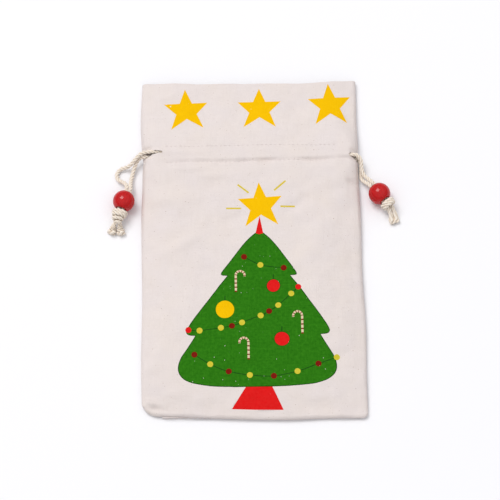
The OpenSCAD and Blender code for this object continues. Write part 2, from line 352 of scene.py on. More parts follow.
# Each strand's route, as in part.scad, from inside the tunnel to its cut end
STRAND_ROUTES = {
    "left_front_strand": [
        (-35, 69.6, 11), (-42, 69.6, 11), (-49, 69.6, 11), (-56, 69.6, 11), (-62, 70.1, 11),
        (-67, 70.7, 10.9), (-71.5, 70.7, 10.5), (-74.8, 70.1, 9.9), (-77.4, 68.5, 9),
        (-79.6, 66.3, 8), (-81.8, 64.2, 6.5), (-84.6, 62.6, 4.5), (-87.4, 62.2, 2.9),
        (-90, 61.5, 2), (-91.9, 59.5, 1.7), (-92.6, 56.9, 1.8), (-91.9, 54.3, 2.2),
        (-90.2, 52.4, 3.1), (-88.1, 50.9, 4.4), (-86.3, 48.9, 5.8), (-85.4, 46.1, 6.9),
        (-85.7, 44, 7.3), (-86.4, 41.9, 7.5), (-88.6, 35.6, 7.5), (-91.1, 28, 7.5),
        (-92.3, 24.3, 6.9), (-93.6, 20.4, 4.8), (-95, 16.4, 2.4), (-96, 12.6, 1.5),
    ],
    "left_back_strand": [
        (-35, 69.6, 2), (-42, 69.6, 2), (-49, 69.6, 2), (-56, 69.6, 2), (-61.6, 69.2, 2.1),
        (-64.6, 68.8, 3.1), (-67.4, 68.5, 5), (-70.2, 68.5, 6.7), (-73, 68.5, 7.3),
        (-75.8, 68.1, 6.8), (-78, 66.4, 5.8), (-79.5, 63.7, 4.6), (-80.8, 60.2, 3.4),
        (-81.8, 56.4, 2.6), (-82.5, 52.6, 3.1), (-82.8, 48.8, 4.9), (-82.7, 44.4, 7),
        (-84.4, 39.5, 7.5), (-86, 34.8, 7.5), (-88.5, 27.2, 7.5), (-89.7, 23.4, 6.9),
        (-90, 19.4, 4.8), (-89.6, 15.4, 2.4), (-89, 12, 1.5),
    ],
    "right_front_strand": [
        (35, 65.6, 11), (42, 65.6, 11), (49, 65.6, 11), (56, 65.6, 11), (63, 65.6, 11),
        (67, 65.9, 10.9), (69.5, 66.4, 10.7), (71.5, 66.7, 10.4), (73.5, 66.3, 10),
        (75.2, 65.1, 9.3), (76.3, 63.3, 8.4), (76.7, 61.1, 7.4), (76.8, 58.4, 6.3),
        (77.4, 55.5, 5.5), (78.8, 52.8, 5.3), (80.9, 50.3, 6.1), (83, 47.9, 7.1), (84.8, 45.6, 7.5),
        (86.5, 43.2, 7.5), (89.4, 39.1, 7.5), (92.3, 35, 7.5), (94.1, 32.6, 7.5), (96.4, 29.2, 6.9),
        (98.2, 25.4, 4.6), (99.4, 21.8, 2.3), (99.8, 18.6, 1.5),
    ],
    "right_back_strand": [
        (35, 65.6, 2), (42, 65.6, 2), (49, 65.6, 2), (56, 65.6, 2), (63, 65.6, 2), (67, 65.9, 2.1),
        (69.5, 66.4, 2.4), (71.5, 66.7, 2.9), (73.5, 66.3, 3.2), (75.2, 65.1, 3.3),
        (76.3, 63.3, 3.2), (76.6, 61.1, 2.8), (76.5, 58.4, 2.3), (76.4, 55.4, 2), (76.5, 52.7, 2.1),
        (77.3, 50.4, 3), (79, 48.3, 4.7), (81.4, 45.5, 6.7), (84.3, 41.6, 7.5), (87.2, 37.5, 7.5),
        (90.1, 33.4, 7.5), (91.9, 31, 7.5), (94, 27.6, 6.9), (95.4, 24, 4.6), (96.4, 20.6, 2.3),
        (97, 17.6, 1.5),
    ],
}
# Each strand's exit and length in metres, how far round its plies start, and how much its tail fluffs open
STRAND_FACTS = {
    "left_front_strand": ((-0.061, 0.07, 0.011), 0.1164, 0.0, 1.0),
    "left_back_strand": ((-0.061, 0.0692, 0.0021), 0.1046, 1.3, 1.0),
    "right_front_strand": ((0.062, 0.0656, 0.011), 0.0971, 2.2, 0.45),
    "right_back_strand": ((0.062, 0.0656, 0.002), 0.0977, 3.7, 0.45),
}


def curve_through(points, step=STEP):
    """Points about a step apart on a Catmull-Rom curve through the given ones."""
    p = np.asarray(points, float)
    p = np.vstack([2 * p[0] - p[1], p, 2 * p[-1] - p[-2]])
    out = []
    for a, b, c, d in zip(p[:-3], p[1:-2], p[2:-1], p[3:]):
        count = max(2, int(round(np.linalg.norm(c - b) / step)))
        t = (np.arange(count) / count)[:, None]
        out.append(0.5 * (2 * b + (c - a) * t + (2 * a - 5 * b + 4 * c - d) * t**2
                          + (3 * b - a - 3 * c + d) * t**3))
    return np.vstack([*out, p[-2]])


def length_along(path):
    return np.concatenate([[0], np.cumsum(np.linalg.norm(np.diff(path, axis=0), axis=1))])


def lobe_radius(angle, offset):
    """Outline of three plies side by side, as the radius at each angle."""
    phi = (angle + math.pi / 3) % (2 * math.pi / 3) - math.pi / 3
    return offset * np.cos(phi) + np.sqrt(np.maximum(PLY_R**2 - (offset * np.sin(phi)) ** 2, 0))


def rounded_ends(path):
    """The same path, with its points close together at its rounded ends."""
    s = length_along(path)
    close = END_ROUND * (1 - np.cos(np.linspace(0, math.pi / 2, 9)))
    middle = s[(s > END_ROUND + STEP / 2) & (s < s[-1] - END_ROUND - STEP / 2)]
    at = np.concatenate([close, middle, (s[-1] - close)[::-1]])
    return np.column_stack([np.interp(at, s, path[:, k]) for k in range(3)])


def rope(path, diameter, phase=0.0, spread=0.0):
    """Points, faces, fibre places and lay of a three-ply cord along a path, whose tail may fluff open.

    The lay says how far out each point is, for the painted shade in the hollows between the plies.
    """
    path = rounded_ends(path)
    s = length_along(path)
    tangents = unit(np.gradient(path, axis=0))
    normal = np.cross(tangents[0], [0.0, 0.0, 1.0])
    if np.linalg.norm(normal) < 0.1:
        normal = np.array([1.0, 0.0, 0.0])
    theta = np.arange(RING) * 2 * math.pi / RING
    points, fibres, lay = [], [], []
    for i, (centre, tangent) in enumerate(zip(path, tangents)):
        normal = unit(normal - tangent * (normal @ tangent))
        side = np.cross(tangent, normal)
        fluffed = spread * float(smoothstep(s[-1] - TAIL, s[-1] - 0.2 * TAIL, s[i]))
        end = min(s[i], s[-1] - s[i])
        blunt = max(0.04, math.sqrt(1 - (1 - min(end / END_ROUND, 1)) ** 2))
        uneven = 1 + UNEVEN * noise.noise((s[i] * 0.35, phase, 3.1))
        shape = lobe_radius(theta, PLY_OFFSET * (1 + 0.3 * fluffed)) / (PLY_R + PLY_OFFSET)
        radius = shape * diameter / 2 * (1 + fluffed) * blunt * uneven
        spun = theta + 2 * math.pi * s[i] / PLY_TWIST * (1 - 0.15 * fluffed) + phase
        ring = centre + np.outer(radius * np.cos(spun), normal) + np.outer(radius * np.sin(spun), side)
        ring[:, 2] = np.maximum(ring[:, 2], CORD_LOW + PRESSED * (ring[:, 2] - centre[2]))
        points.append(ring)
        fibres.append(np.column_stack([np.cos(theta) * 1.3 + phase, np.sin(theta) * 1.3,
                                       np.full(RING, s[i] * 0.22)]))
        lay.append(np.column_stack([shape, np.full(RING, fluffed), np.zeros(RING)]))
    return np.vstack(points), tube_faces(len(path), RING), np.vstack(fibres), np.vstack(lay)


def rope_piece(name, ropes, material=CORD_YARN):
    """One piece made of several lengths of the same cord."""
    faces, first = [], 0
    for points, tube, _, _ in ropes:
        faces += [[v + first for v in face] for face in tube]
        first += len(points)
    points, _, fibres, lays = zip(*ropes)
    piece = new_piece(name, np.vstack(points), faces, [material])
    store(piece, "fibre_at", np.vstack(fibres))
    store(piece, "lay", np.vstack(lays))
    return piece


strand_pieces = {}
for strand, (_, _, phase, spread) in STRAND_FACTS.items():
    route = curve_through(STRAND_ROUTES[strand])
    piece = rope_piece(strand + "_cord", [rope(route, SOFT_D, phase, spread)])
    declare(piece, strand, strand.split("_")[0] + "_pull")
    strand_pieces[strand] = (piece, (route * MM).tolist())


def tunnel_cord(side, way):
    """The two straight runs in the tunnel, and their turn at the far side, which lies that way."""
    low, high = (np.array(c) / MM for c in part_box(side + "_cord_runs"))
    y = (low[1] + high[1]) / 2
    r = CORD_D / MM / 2
    z_front, z_back = high[2] - r, low[2] + r
    xs = np.arange(low[0], high[0] + STEP, STEP)
    runs = [rope(np.column_stack([xs, np.full_like(xs, y), np.full_like(xs, z)]), CORD_D / MM, phase=z)
            for z in (z_front, z_back)]
    declare(rope_piece(side + "_tunnel_cord", runs), side + "_cord_runs", side + "_pull")
    start = high[0] if way > 0 else low[0]
    turn_r = (z_front - z_back) / 2
    angles = np.linspace(-math.pi / 2, math.pi / 2, 40)
    path = np.column_stack([start + way * turn_r * np.cos(angles), np.full_like(angles, y),
                            z_back + turn_r + turn_r * np.sin(angles)])
    turn = rope_piece(side + "_tunnel_turn", [rope(path, CORD_D / MM)])
    declare(turn, side + "_cord_turn", side + "_pull")


for side, way in SIDES:
    tunnel_cord(side, -way)

# ---- beads and knots

BEAD_R = 7.5
BORE_R = 3.2
BORE_ROUND = 0.7
BEAD_SIDES = 72
# Along each bead's hole, away from its knot
BEAD_UP = {"left": (0.3173, 0.9483, 0.0), "right": (-0.5807, 0.8141, 0.0)}
KNOT_TILT = 0.4
# A knot's wraps: first angle, turns; from first to last how far below the bead's centre they lie, their half
# width and half height; and the cord's diameter
FIRST_WRAPS = (-1.9, 2.15, (7.8, 11.8), (4.2, 3.4), (3.9, 3.2), 3.3)
LOWER_WRAPS = (-1.4, 1.5, (12.2, 16.6), (3.1, 2.6), (2.5, 2.0), 2.5)
WRAPS = {"left": (FIRST_WRAPS, LOWER_WRAPS), "right": (FIRST_WRAPS,)}


def bead(side):
    """A turned bead: a sphere with a hole whose rims are rounded."""
    low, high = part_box(side + "_bead")
    centre = (np.array(low) + np.array(high)) / 2 / MM
    axis = np.array(BEAD_UP[side])
    across = np.cross(axis, [0, 0, 1])
    rim = math.asin((BORE_R + BORE_ROUND) / BEAD_R)
    ball = [(BEAD_R * math.sin(a), BEAD_R * math.cos(a)) for a in np.linspace(rim, math.pi - rim, 60)]
    top = BEAD_R * math.cos(rim)
    lip = [(BORE_R + BORE_ROUND * (1 - math.sin(a)), top - BORE_ROUND * (1 - math.cos(a)))
           for a in np.linspace(0, math.pi / 2, 7)[1:]]
    bore = [(BORE_R, h) for h in np.linspace(top - BORE_ROUND, -top + BORE_ROUND, 12)[1:-1]]
    profile = ball + [(r, -h) for r, h in lip + bore] + lip[::-1]
    points, places = [], []
    for k in range(BEAD_SIDES):
        a = 2 * math.pi * k / BEAD_SIDES
        out = across * math.cos(a) + np.array([0, 0, 1.0]) * math.sin(a)
        for r, h in profile:
            points.append(centre + out * r + axis * h)
            places.append((r * math.cos(a), r * math.sin(a), h))
    faces = tube_faces(BEAD_SIDES, len(profile), closed=True)
    piece = new_piece(side + "_lacquered_bead", points, faces, [RED_LACQUER])
    store(piece, "flat_at", places)
    declare(piece, side + "_bead", side + "_bead")
    return centre, axis, across


def knot(side, centre, axis, across):
    """The cord wrapped round both strands and pulled tight under the bead."""

    def coil(start, turns, down, wide, high, diameter):
        t = np.linspace(0, 1, int(60 * turns))
        angle = start + 2 * math.pi * turns * t
        along = np.interp(t, [0, 1], down) + KNOT_TILT * np.sin(angle + 0.8)
        width, height = np.interp(t, [0, 1], wide), np.interp(t, [0, 1], high)
        path = (centre - np.outer(along, axis) + np.outer(width * np.cos(angle), across)
                + np.outer(height * np.sin(angle), [0, 0, 1]))
        return rope(path, diameter, phase=0.4)

    piece = rope_piece(side + "_wrapped_knot", [coil(*wraps) for wraps in WRAPS[side]])
    declare(piece, side + "_knot", side + "_pull")


for side, _ in SIDES:
    knot(side, *bead(side))

for strand, (piece, path) in strand_pieces.items():
    side, which, _ = strand.split("_")

# ---- the pouch's shape

_, panel_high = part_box("back_panel")
HALF_W = panel_high.x / MM
HALF_L = panel_high.y / MM
CLOTH_T = 0.45
LAYER_GAP = 0.15
# The tunnel: its edges, its middle, the room inside it, and where the cords lie in it
TUNNEL_LOW, TUNNEL_HIGH = 62.6, 72.6
TUNNEL_Y = 67.6
TUNNEL_ROOM = 3.0
LEFT_CORD_Y, RIGHT_CORD_Y = 69.6, 65.6
LEFT_EXIT_X = -61.0
# The openings that the strands leave by, from the side's edge and back to it
SLOTS = [
    [(-76, 66.9), (-72.6, 66.9), (-70.6, 67.2), (-68.2, 68.2), (-64, 68.6), (-61.2, 68.6),
     (-60.6, 69.4), (-61.2, 70.2), (-66, 70.9), (-69, 71.4), (-72, 72.1), (-76, 72.5)],
    [(76, 63.2), (74.4, 63.9), (71.0, 64.8), (68.8, 65.1), (68.1, 66.1), (68.9, 67.4),
     (71.5, 68.2), (76, 68.4)],
]
# Width over which the front rounds off to its sides and foot, and the back to both
SIDE_ROUND = 2.6
FOOT_ROUND = 2.2
BACK_ROUND = 3.0
# Radius of the fold at the mouth, and how far the sewn edges are drawn in
FOLD_R = 0.5
SEAM_TUCK = 0.35
# Half the gap between front and back cloth along the seams
SEAM_GAP = 0.06
# How far from the sides the front starts to droop, in general and near the tunnel
DROOP = 36.0
LEFT_DROOP, RIGHT_DROOP = 9.0, 8.0
DROOP_POWER = 2.2
HELD_HALF, HELD_FADE = 4, 27

# Height of the front along the pouch, in its middle and at its sides
PROFILE_Y = (-125, -110, -95, -70, -45, 0, 45, 57, 79, 92, 105, 125)
PROFILE_Z = (4.6, 6.6, 8.2, 9.9, 11.0, 12.0, 12.5, 12.8, 12.8, 10.8, 8.8, 7.4)
SIDE_Z = (4.2, 4.6, 4.9, 5.2, 5.4, 5.8, 6.6, 7.3, 7.3, 6.6, 5.6, 5.0)
# How far the foot and the mouth lie from the CAD rectangle, across the pouch
FOOT_X = (-75, -59, -33, 1, 24, 48, 75)
FOOT_DY = (5.6, 5.8, 4.2, 2.6, 2.1, 3.0, 2.7)
MOUTH_X = (-75, -50, -30, -20, 12, 33, 55, 74)
MOUTH_DY = (0.9, 0.2, -0.9, -0.4, -1.1, -1.4, -0.1, 1.5)
SMOOTH_BY = 7


def smoothed(reach, at, values):
    """Whole millimetres from -reach to reach, and the stations' values there, averaged over 15 mm."""
    wide = np.arange(-reach - SMOOTH_BY, reach + SMOOTH_BY + 1, 1.0)
    count = 2 * SMOOTH_BY + 1
    mean = np.convolve(np.interp(wide, at, values), np.ones(count) / count, "valid")
    return wide[SMOOTH_BY:-SMOOTH_BY], mean


MIDDLE_HEIGHT = smoothed(150, PROFILE_Y, PROFILE_Z)
SIDE_HEIGHT = smoothed(150, PROFILE_Y, SIDE_Z)
FOOT_SHIFT = smoothed(90, FOOT_X, FOOT_DY)
MOUTH_SHIFT = smoothed(90, MOUTH_X, MOUTH_DY)


def crease_y(x):
    """The tunnel's lower row of stitches, which wanders and rises to the right."""
    return 61.9 + 0.9 * smoothstep(-30, 40, x) + 0.5 * smoothstep(40, 66, x) + 0.25 * np.sin(x / 9)


def upper_y(x):
    return 73.9 + 0.3 * np.sin(x / 13 + 1)


def seam_z(x, y):
    """Height of the seam round the pouch, lower where the cords come out."""
    z = 2.4 + 0.25 * np.sin(x / 23 + y / 31)
    left = np.where(x < 0, bell(y - LEFT_CORD_Y, 7), 0)
    right = np.where(x > 0, bell(y - RIGHT_CORD_Y, 7), 0)
    return z - 1.2 * (left + right)


def quarter_round(distance, width):
    """0 at an edge and 1 from that width inwards, along a quarter of an ellipse."""
    t = 1 - np.clip(distance / width, 0, 1)
    return np.sqrt(1 - t * t)


def slot_lips(x, y):
    """How far the cloth droops along the openings that the cords leave by."""
    left = bell(np.maximum(np.maximum(67.2 - y, y - 72.5), 0), 2.2) * smoothstep(-65.5, -71, x)
    right = bell(np.maximum(np.maximum(64.2 - y, y - 68.4), 0), 2.2) * smoothstep(67.5, 72, x)
    return 2.2 * (left + right)


def body_height(x, y):
    """Height of the puffed front, which droops to the sides, less where the cords hold it."""
    held = bell(np.maximum(np.abs(y - TUNNEL_Y) - HELD_HALF, 0), HELD_FADE)
    reach = DROOP + (np.where(x > 0, RIGHT_DROOP, LEFT_DROOP) - DROOP) * held
    low = np.interp(y, *SIDE_HEIGHT)
    inward = np.clip((HALF_W - np.abs(x)) / reach, 0, 1)
    return low + (np.interp(y, *MIDDLE_HEIGHT) - low) * (1 - (1 - inward) ** DROOP_POWER)


# Soft folds of the front, each from one point to another: relative height and half width
FOLD_DEPTH = 1.9
FOLDS = [
    ((-70, -8), (-38, 4), 0.55, 4.0),
    ((-72, 34), (-22, 32), 0.45, 5.0),
    ((-56, 58), (-30, 55.5), 0.45, 1.8),
    ((-40, 53), (-16, 51), 0.35, 2.2),
    ((22, 22), (44, 38), -0.5, 4.0),
    ((44, 38), (66, 43), -0.35, 5.0),
    ((-20, 16), (-4, 22), -0.35, 4.0),
    ((-66, 112), (-50, 117), 0.5, 2.6),
    ((-72, 96), (-58, 98), 0.35, 3.0),
    ((62, 97), (75, 97.5), -0.45, 1.1),
    ((66, 47.5), (76, 46), -0.9, 1.8),
    ((24, 100), (40, 99), -0.3, 5.0),
    ((-66, -118), (-72, -112), 0.8, 2.2),
    ((-58, -121), (-70, -121), -0.6, 1.8),
    ((40, -108), (60, -106), 0.35, 5.0),
    ((-72, -92), (-60, -70), 0.3, 4.0),
]


def fold_relief(x, y):
    """The soft folds, which fade in and out along their length and bend a little."""
    total = np.zeros_like(x)
    for (ax, ay), (bx, by), height, width in FOLDS:
        dx, dy = bx - ax, by - ay
        length = math.hypot(dx, dy)
        along = ((x - ax) * dx + (y - ay) * dy) / length
        aside = ((y - ay) * dx - (x - ax) * dy) / length
        reach = smoothstep(-0.15 * length, 0.3 * length, along) * (
            1 - smoothstep(0.7 * length, 1.15 * length, along))
        total += height * reach * bell(aside + 0.9 * np.sin(along / 6), width)
    return total


def cloth_waves(x, y):
    """Waves and small wrinkles, fewer at the tunnel, where the cords hold the cloth."""
    slack = 1.5 - 0.6 * bell(y - TUNNEL_Y, 9)
    wave = slack * (0.7 * ripple(x, y * 1.2, 30, 4.2) + 0.5 * ripple(x, y * 1.3, 13, 9.1))
    fine = slack * (0.2 * ripple(x * 1.2, y, 6.0, 2.7) + 0.06 * ripple(x, y * 1.4, 2.4, 6.6))
    return wave + fine


def tunnel_creases(x, y):
    """Creases along the tunnel's stitches, and puckers across them."""
    low, high = y - crease_y(x), y - upper_y(x)
    past_exit = 1 - smoothstep(-3, 0, LEFT_EXIT_X + 1 - x)
    middle = smoothstep(-58, -42, x) * (1 - 0.55 * smoothstep(34, 58, x))
    strength = (0.25 + 0.75 * middle) * (0.95 + 0.9 * ripple(x, y * 0, 12, 1.5))
    crease = -(1.35 * strength * bell(low, 1.2) + 0.45 * strength * bell(low + 2.6, 2.6)) * past_exit
    crease -= 0.06 * bell(high, 1.2) * past_exit
    puckers = 0.5 * ripple(x, y * 0.12, 2.3, 7.3) * (bell(low + 1.2, 2.6) + 0.3 * bell(high, 2.5))
    return crease + puckers + 0.2 * smoothstep(0, 2.5, low) * (1 - smoothstep(-6, 0, high))


def shown_through(x, y):
    """Ridges over the cords near the tunnel's ends and over the seam allowances."""
    cord_left = 0.55 * bell(y - LEFT_CORD_Y, 2.4) * smoothstep(-20, -52, x)
    cord_right = 0.35 * bell(y - RIGHT_CORD_Y, 2.4) * smoothstep(25, 60, x)
    side = HALF_W - np.abs(x)
    allowance = 0.18 * (1 - smoothstep(5.0, 6.2, side + 0.3 * np.sin(y / 8)))
    return cord_left + cord_right + allowance


def relief(x, y):
    """All that rises from or sinks into the smooth front, in millimetres."""
    return (cloth_waves(x, y) + tunnel_creases(x, y) + shown_through(x, y)
            + FOLD_DEPTH * fold_relief(x, y))


# The two corners at the foot: side and radius
CORNERS = ((-1, 11.0), (1, 3.5))
CORNER_PULL = 0.293


def outline(x, y):
    """Moves plan points onto the real outline, with wandering edges and rounded corners."""
    near_side = smoothstep(25, 0, HALF_W - np.abs(x))
    near_foot = smoothstep(25, 0, y + HALF_L)
    near_mouth = smoothstep(22, 0, HALF_L - y)
    right = 0.9 * bell(y + 70, 35) - 0.7 * bell(y - 94, 14) - 0.3 * bell(y - 58, 12) + 0.25 * np.sin(y / 11)
    left = 0.3 * np.sin(y / 14 + 1) - 0.7 * bell(y - 66, 5) + 0.4 * bell(y - 30, 14) + 0.8 * bell(y - 97, 20)
    dx = near_side * np.where(x > 0, right, -left)
    dy = near_foot * np.interp(x, *FOOT_SHIFT) + near_mouth * np.interp(x, *MOUTH_SHIFT)
    for sx, radius in CORNERS:
        u = np.clip(1 - (HALF_W - sx * x) / radius, 0, 1)
        v = np.clip(1 - (HALF_L + y) / radius, 0, 1)
        pull = CORNER_PULL * radius * (u * v) ** 1.5
        dx = dx - sx * pull
        dy = dy + pull
    return x + dx, y + dy


def sewn_outline(x, y):
    """The real outline, with the sewn edges drawn in a little."""
    px, py = outline(x, y)
    px = px - np.sign(x) * SEAM_TUCK * (HALF_W - np.abs(x) < 1e-6)
    py = py + SEAM_TUCK * (HALF_L + y < 1e-6)
    return px, py


def mouth_roll(y):
    """How far a face has rolled towards the fold at the mouth."""
    past = np.clip((y - (HALF_L - FOLD_R)) / FOLD_R, 0, 1)
    return FOLD_R * (1 - np.sqrt(1 - past * past))


def front_surface(plan):
    """Outer face of the front cloth."""
    x, y = plan[:, 0], plan[:, 1]
    body = body_height(x, y) + relief(x, y) - slot_lips(x, y)
    low = seam_z(x, y) + SEAM_GAP
    rounded = quarter_round(HALF_W - np.abs(x), SIDE_ROUND) * quarter_round(HALF_L + y, FOOT_ROUND)
    z = low + (body - low) * rounded - mouth_roll(y)
    return np.column_stack([*sewn_outline(x, y), z])


def back_surface(plan):
    """Outer face of the back cloth, which lies on the table and curls up to the seams."""
    x, y = plan[:, 0], plan[:, 1]
    rounded = quarter_round(HALF_W - np.abs(x), BACK_ROUND) * quarter_round(HALF_L + y, BACK_ROUND)
    z = (seam_z(x, y) - SEAM_GAP) * (1 - rounded) + mouth_roll(y)
    return np.column_stack([*sewn_outline(x, y), z])


def tunnel_gap(y, low, high):
    """How much further in the hem lies between the tunnel's two rows of stitches."""
    return TUNNEL_ROOM * smoothstep(low - 0.5, low + 1.0, y) * (1 - smoothstep(high - 1.0, high + 0.5, y))


def front_facing_surface(plan):
    """Inner face of the front's turned-in hem, seen through the mouth."""
    x, y = plan[:, 0], plan[:, 1]
    above = front_surface(np.column_stack([x, np.minimum(y, HALF_L - FOLD_R - 0.01)]))
    z = above[:, 2] - 2 * CLOTH_T - LAYER_GAP - tunnel_gap(y, crease_y(x), upper_y(x))
    return np.column_stack([*outline(x, y), z + mouth_roll(y)])


def back_facing_surface(plan):
    """Inner face of the back's turned-in hem."""
    x, y = plan[:, 0], plan[:, 1]
    z = 2 * CLOTH_T + LAYER_GAP + tunnel_gap(y, TUNNEL_LOW, TUNNEL_HIGH) * 1.05
    z = z + 0.12 * ripple(x, y, 14, 5.5) * smoothstep(TUNNEL_HIGH, TUNNEL_HIGH + 6, y)
    return np.column_stack([*outline(x, y), np.maximum(z, 1.0) - mouth_roll(y)])


# ---- cloth meshes


def stations(low, high, pitch):
    """Evenly spaced places from low to high, about that pitch apart."""
    return np.linspace(low, high, int(round((high - low) / pitch)) + 1)


def curled(width, count=9):
    """Distances from an edge for a quarter-round rim: close together where the cloth is steep."""
    return width * (1 - np.cos(np.linspace(0, math.pi / 2, count)))


def columns(pitch, width):
    """Places across the pouch, closer together at its rounded sides."""
    right = stations(0, HALF_W - width, pitch)[:-1]
    right = np.concatenate([right, (HALF_W - curled(width))[::-1]])
    return np.concatenate([-right[:0:-1], right])


FOLD_ROWS = HALF_L - FOLD_R * (1 - np.sin(np.linspace(0, math.pi / 2, 5)))


def rows(pitch, width):
    """Places along the pouch, closer together at its foot, its tunnel and its mouth."""
    foot = -HALF_L + curled(width)
    start, finish = crease_y(0) - 6, upper_y(0) + 4
    return np.concatenate([
        foot[:-1], stations(foot[-1], start, pitch)[:-1], stations(start, finish, pitch * 0.6)[:-1],
        stations(finish, HALF_L - FOLD_R, pitch)[:-1], FOLD_ROWS])


def grid_plan(xs, ys):
    """Plan points and triangles of a rectangular grid."""
    gx, gy = np.meshgrid(xs, ys)
    nx, ny = len(xs), len(ys)
    first = (np.arange(ny - 1)[:, None] * nx + np.arange(nx - 1)).ravel()
    lower = np.column_stack([first, first + 1, first + nx + 1])
    upper = np.column_stack([first, first + nx + 1, first + nx])
    return np.column_stack([gx.ravel(), gy.ravel()]), np.vstack([lower, upper])


def vertex_normals(points, triangles):
    a, b, c = (points[triangles[:, k]] for k in range(3))
    normals = np.cross(b - a, c - a)
    total = np.zeros_like(points)
    for k in range(3):
        np.add.at(total, triangles[:, k], normals)
    return unit(total)


# How far the inner face's weave is shifted from the outer one's
INNER_WEAVE_SHIFT = [0.21, 0.1, 0]


def thick_cloth(name, plan, points, normals, triangles, inks):
    """A closed piece of cloth: outer face, inner face a thickness away, and cut edges."""
    used, top = np.unique(triangles, return_inverse=True)
    top = top.reshape(-1, 3)
    n = len(used)
    outer, inner = points[used], points[used] - normals[used] * CLOTH_T
    edges = np.vstack([top[:, [0, 1]], top[:, [1, 2]], top[:, [2, 0]]])
    keys = np.sort(edges, axis=1)
    _, index, counts = np.unique(keys, axis=0, return_index=True, return_counts=True)
    rim = edges[index[counts == 1]]
    faces = np.vstack([top, top[:, ::-1] + n]).tolist()
    faces += [[b, a, a + n, b + n] for a, b in rim.tolist()]
    materials = [COTTON] if inks is None else PRINT_MATERIALS
    piece = new_piece(name, np.vstack([outer, inner]), faces, materials)
    mesh = piece.data
    if inks is not None:
        index = np.zeros(len(mesh.polygons), np.int32)
        index[:len(top)] = inks
        mesh.polygons.foreach_set("material_index", index)
    flat = np.column_stack([plan[used], np.zeros(n)])
    store(piece, "flat_at", np.vstack([flat, flat + INNER_WEAVE_SHIFT]))
    face_normals = np.zeros(len(mesh.polygons) * 3)
    mesh.polygons.foreach_get("normal", face_normals)
    face_normals = face_normals.reshape(-1, 3)[2 * len(top):]
    loops = np.vstack([normals[used][top.ravel()], -normals[used][top[:, ::-1].ravel()],
                       np.repeat(face_normals, 4, axis=0)])
    mesh.normals_split_custom_set(loops.tolist())
    return piece


def halves(name, node, plan, points, triangles, inks=None, flip=False):
    """A sheet's two halves, cut down the middle, each a closed piece of cloth."""
    if flip:
        triangles = triangles[:, ::-1]
    normals = vertex_normals(points, triangles)
    middle = plan[triangles].mean(axis=1)[:, 0]
    made = []
    for side, way in SIDES:
        mask = middle * way > 0
        piece = thick_cloth(f"{name}_{side}", plan, points, normals, triangles[mask],
                            None if inks is None else inks[mask])
        declare(piece, node)
        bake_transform(piece)
        made.append(piece)
    return made


# ---- the print

RAY_W = 1.2
STRING_W = 0.55
GARLAND_BEAD_R = 2.05
BALL_RIM = 0.45
GREEN_RIM = 0.55


def circle(x, y, r, count):
    a = np.arange(count) * 2 * math.pi / count
    return np.column_stack([x + r * np.cos(a), y + r * np.sin(a)])


# Right half of a hand-drawn star, from its top point
HALF_STAR = [(0, 15.6), (4.3, 4.3), (15.0, 4.4), (7.1, -4.6), (11.2, -16.6), (0, -8.6)]


def star(x, y, tilt):
    corners = HALF_STAR + [(-px, py) for px, py in HALF_STAR[-2:0:-1]]
    t = math.radians(tilt)
    return np.array([(x + px * math.cos(t) - py * math.sin(t), y + px * math.sin(t) + py * math.cos(t))
                     for px, py in corners])


def band(path, width):
    """A strip of that width along a path."""
    path = np.asarray(path, float)
    along = unit(np.gradient(path, axis=0))
    aside = np.column_stack([-along[:, 1], along[:, 0]]) * width / 2
    return np.vstack([path + aside, (path - aside)[::-1]])


def tree_axis(y):
    return 2.1 + 0.03 * (y + 100)


# Right side of each tier of the tree, from the top down
TREE_TIERS = [
    [(1.2, 8.9), (2.9, 8.1), (8.0, 3.2), (14.4, -4.8), (21.4, -14.8), (25.2, -20.3), (25.6, -22.1),
     (24.2, -22.8), (21.3, -23.0)],
    [(21.3, -23.0), (26.0, -28.9), (33.2, -39.2), (42.0, -51.5), (47.4, -60.2), (48.1, -63.0), (46.4, -64.7),
     (42.0, -65.3)],
    [(42.0, -65.3), (47.6, -74.5), (51.4, -80.7), (53.0, -86.6), (52.0, -91.8), (47.6, -96.2), (40.0, -98.9),
     (28.0, -100.5), (14.0, -101.2)],
]


def tree_outline(inset=0.0):
    """The whole tree, or the same outline moved in by the inset."""
    side = np.vstack([curve_through([(w, y, 0) for w, y in tier], 1.2)[:-1, :2] for tier in TREE_TIERS])
    lean = np.column_stack([tree_axis(side[:, 1]), np.zeros(len(side))])
    right = side + lean
    left = side * (-1, 1) + lean
    points = np.vstack([right, left[::-1]])
    if inset:
        before, after = np.roll(points, 1, axis=0), np.roll(points, -1, axis=0)
        way = unit(unit(points - before) + unit(after - points))
        points = points + np.column_stack([way[:, 1], -way[:, 0]]) * inset
    return points


TREE_TIP = [(5.6, 20.4), (7.9, 7.9), (5.2, 7.2), (2.7, 7.9)]
TREE_FOOT = [(-14.9, -118.8), (19.4, -118.8), (12.0, -100.7), (-5.3, -100.7)]
GARLANDS = [
    [(-5.4, -9.3, "dark_red"), (5.6, -14.9, "yellow"), (21.3, -17.6, "dark_red")],
    [(30.9, -31.4, "red"), (26.0, -36.3, "yellow"), (17.1, -44.4, "yellow"), (10.9, -48.5, "dark_red"),
     (5.2, -51.5, "yellow"), (-7.4, -56.5, "yellow"), (-14.2, -58.7, "dark_red"), (-21.6, -59.8, "yellow"),
     (-35.9, -61.7, "yellow"), (-43.4, -61.2, "red")],
    [(-39.5, -78.2, "dark_red"), (-29.0, -85.2, "yellow"), (-16.7, -90.2, "dark_red"),
     (-2.7, -93.0, "yellow"), (13.3, -93.8, "dark_red"), (29.1, -91.0, "yellow"), (43.2, -85.7, "dark_red"),
     (55.5, -81.2, "yellow")],
]
BALLS = [(-18.7, -46.9, 6.2, "gold"), (14.1, -30.2, 4.8, "red"), (19.2, -68.2, 5.4, "red")]
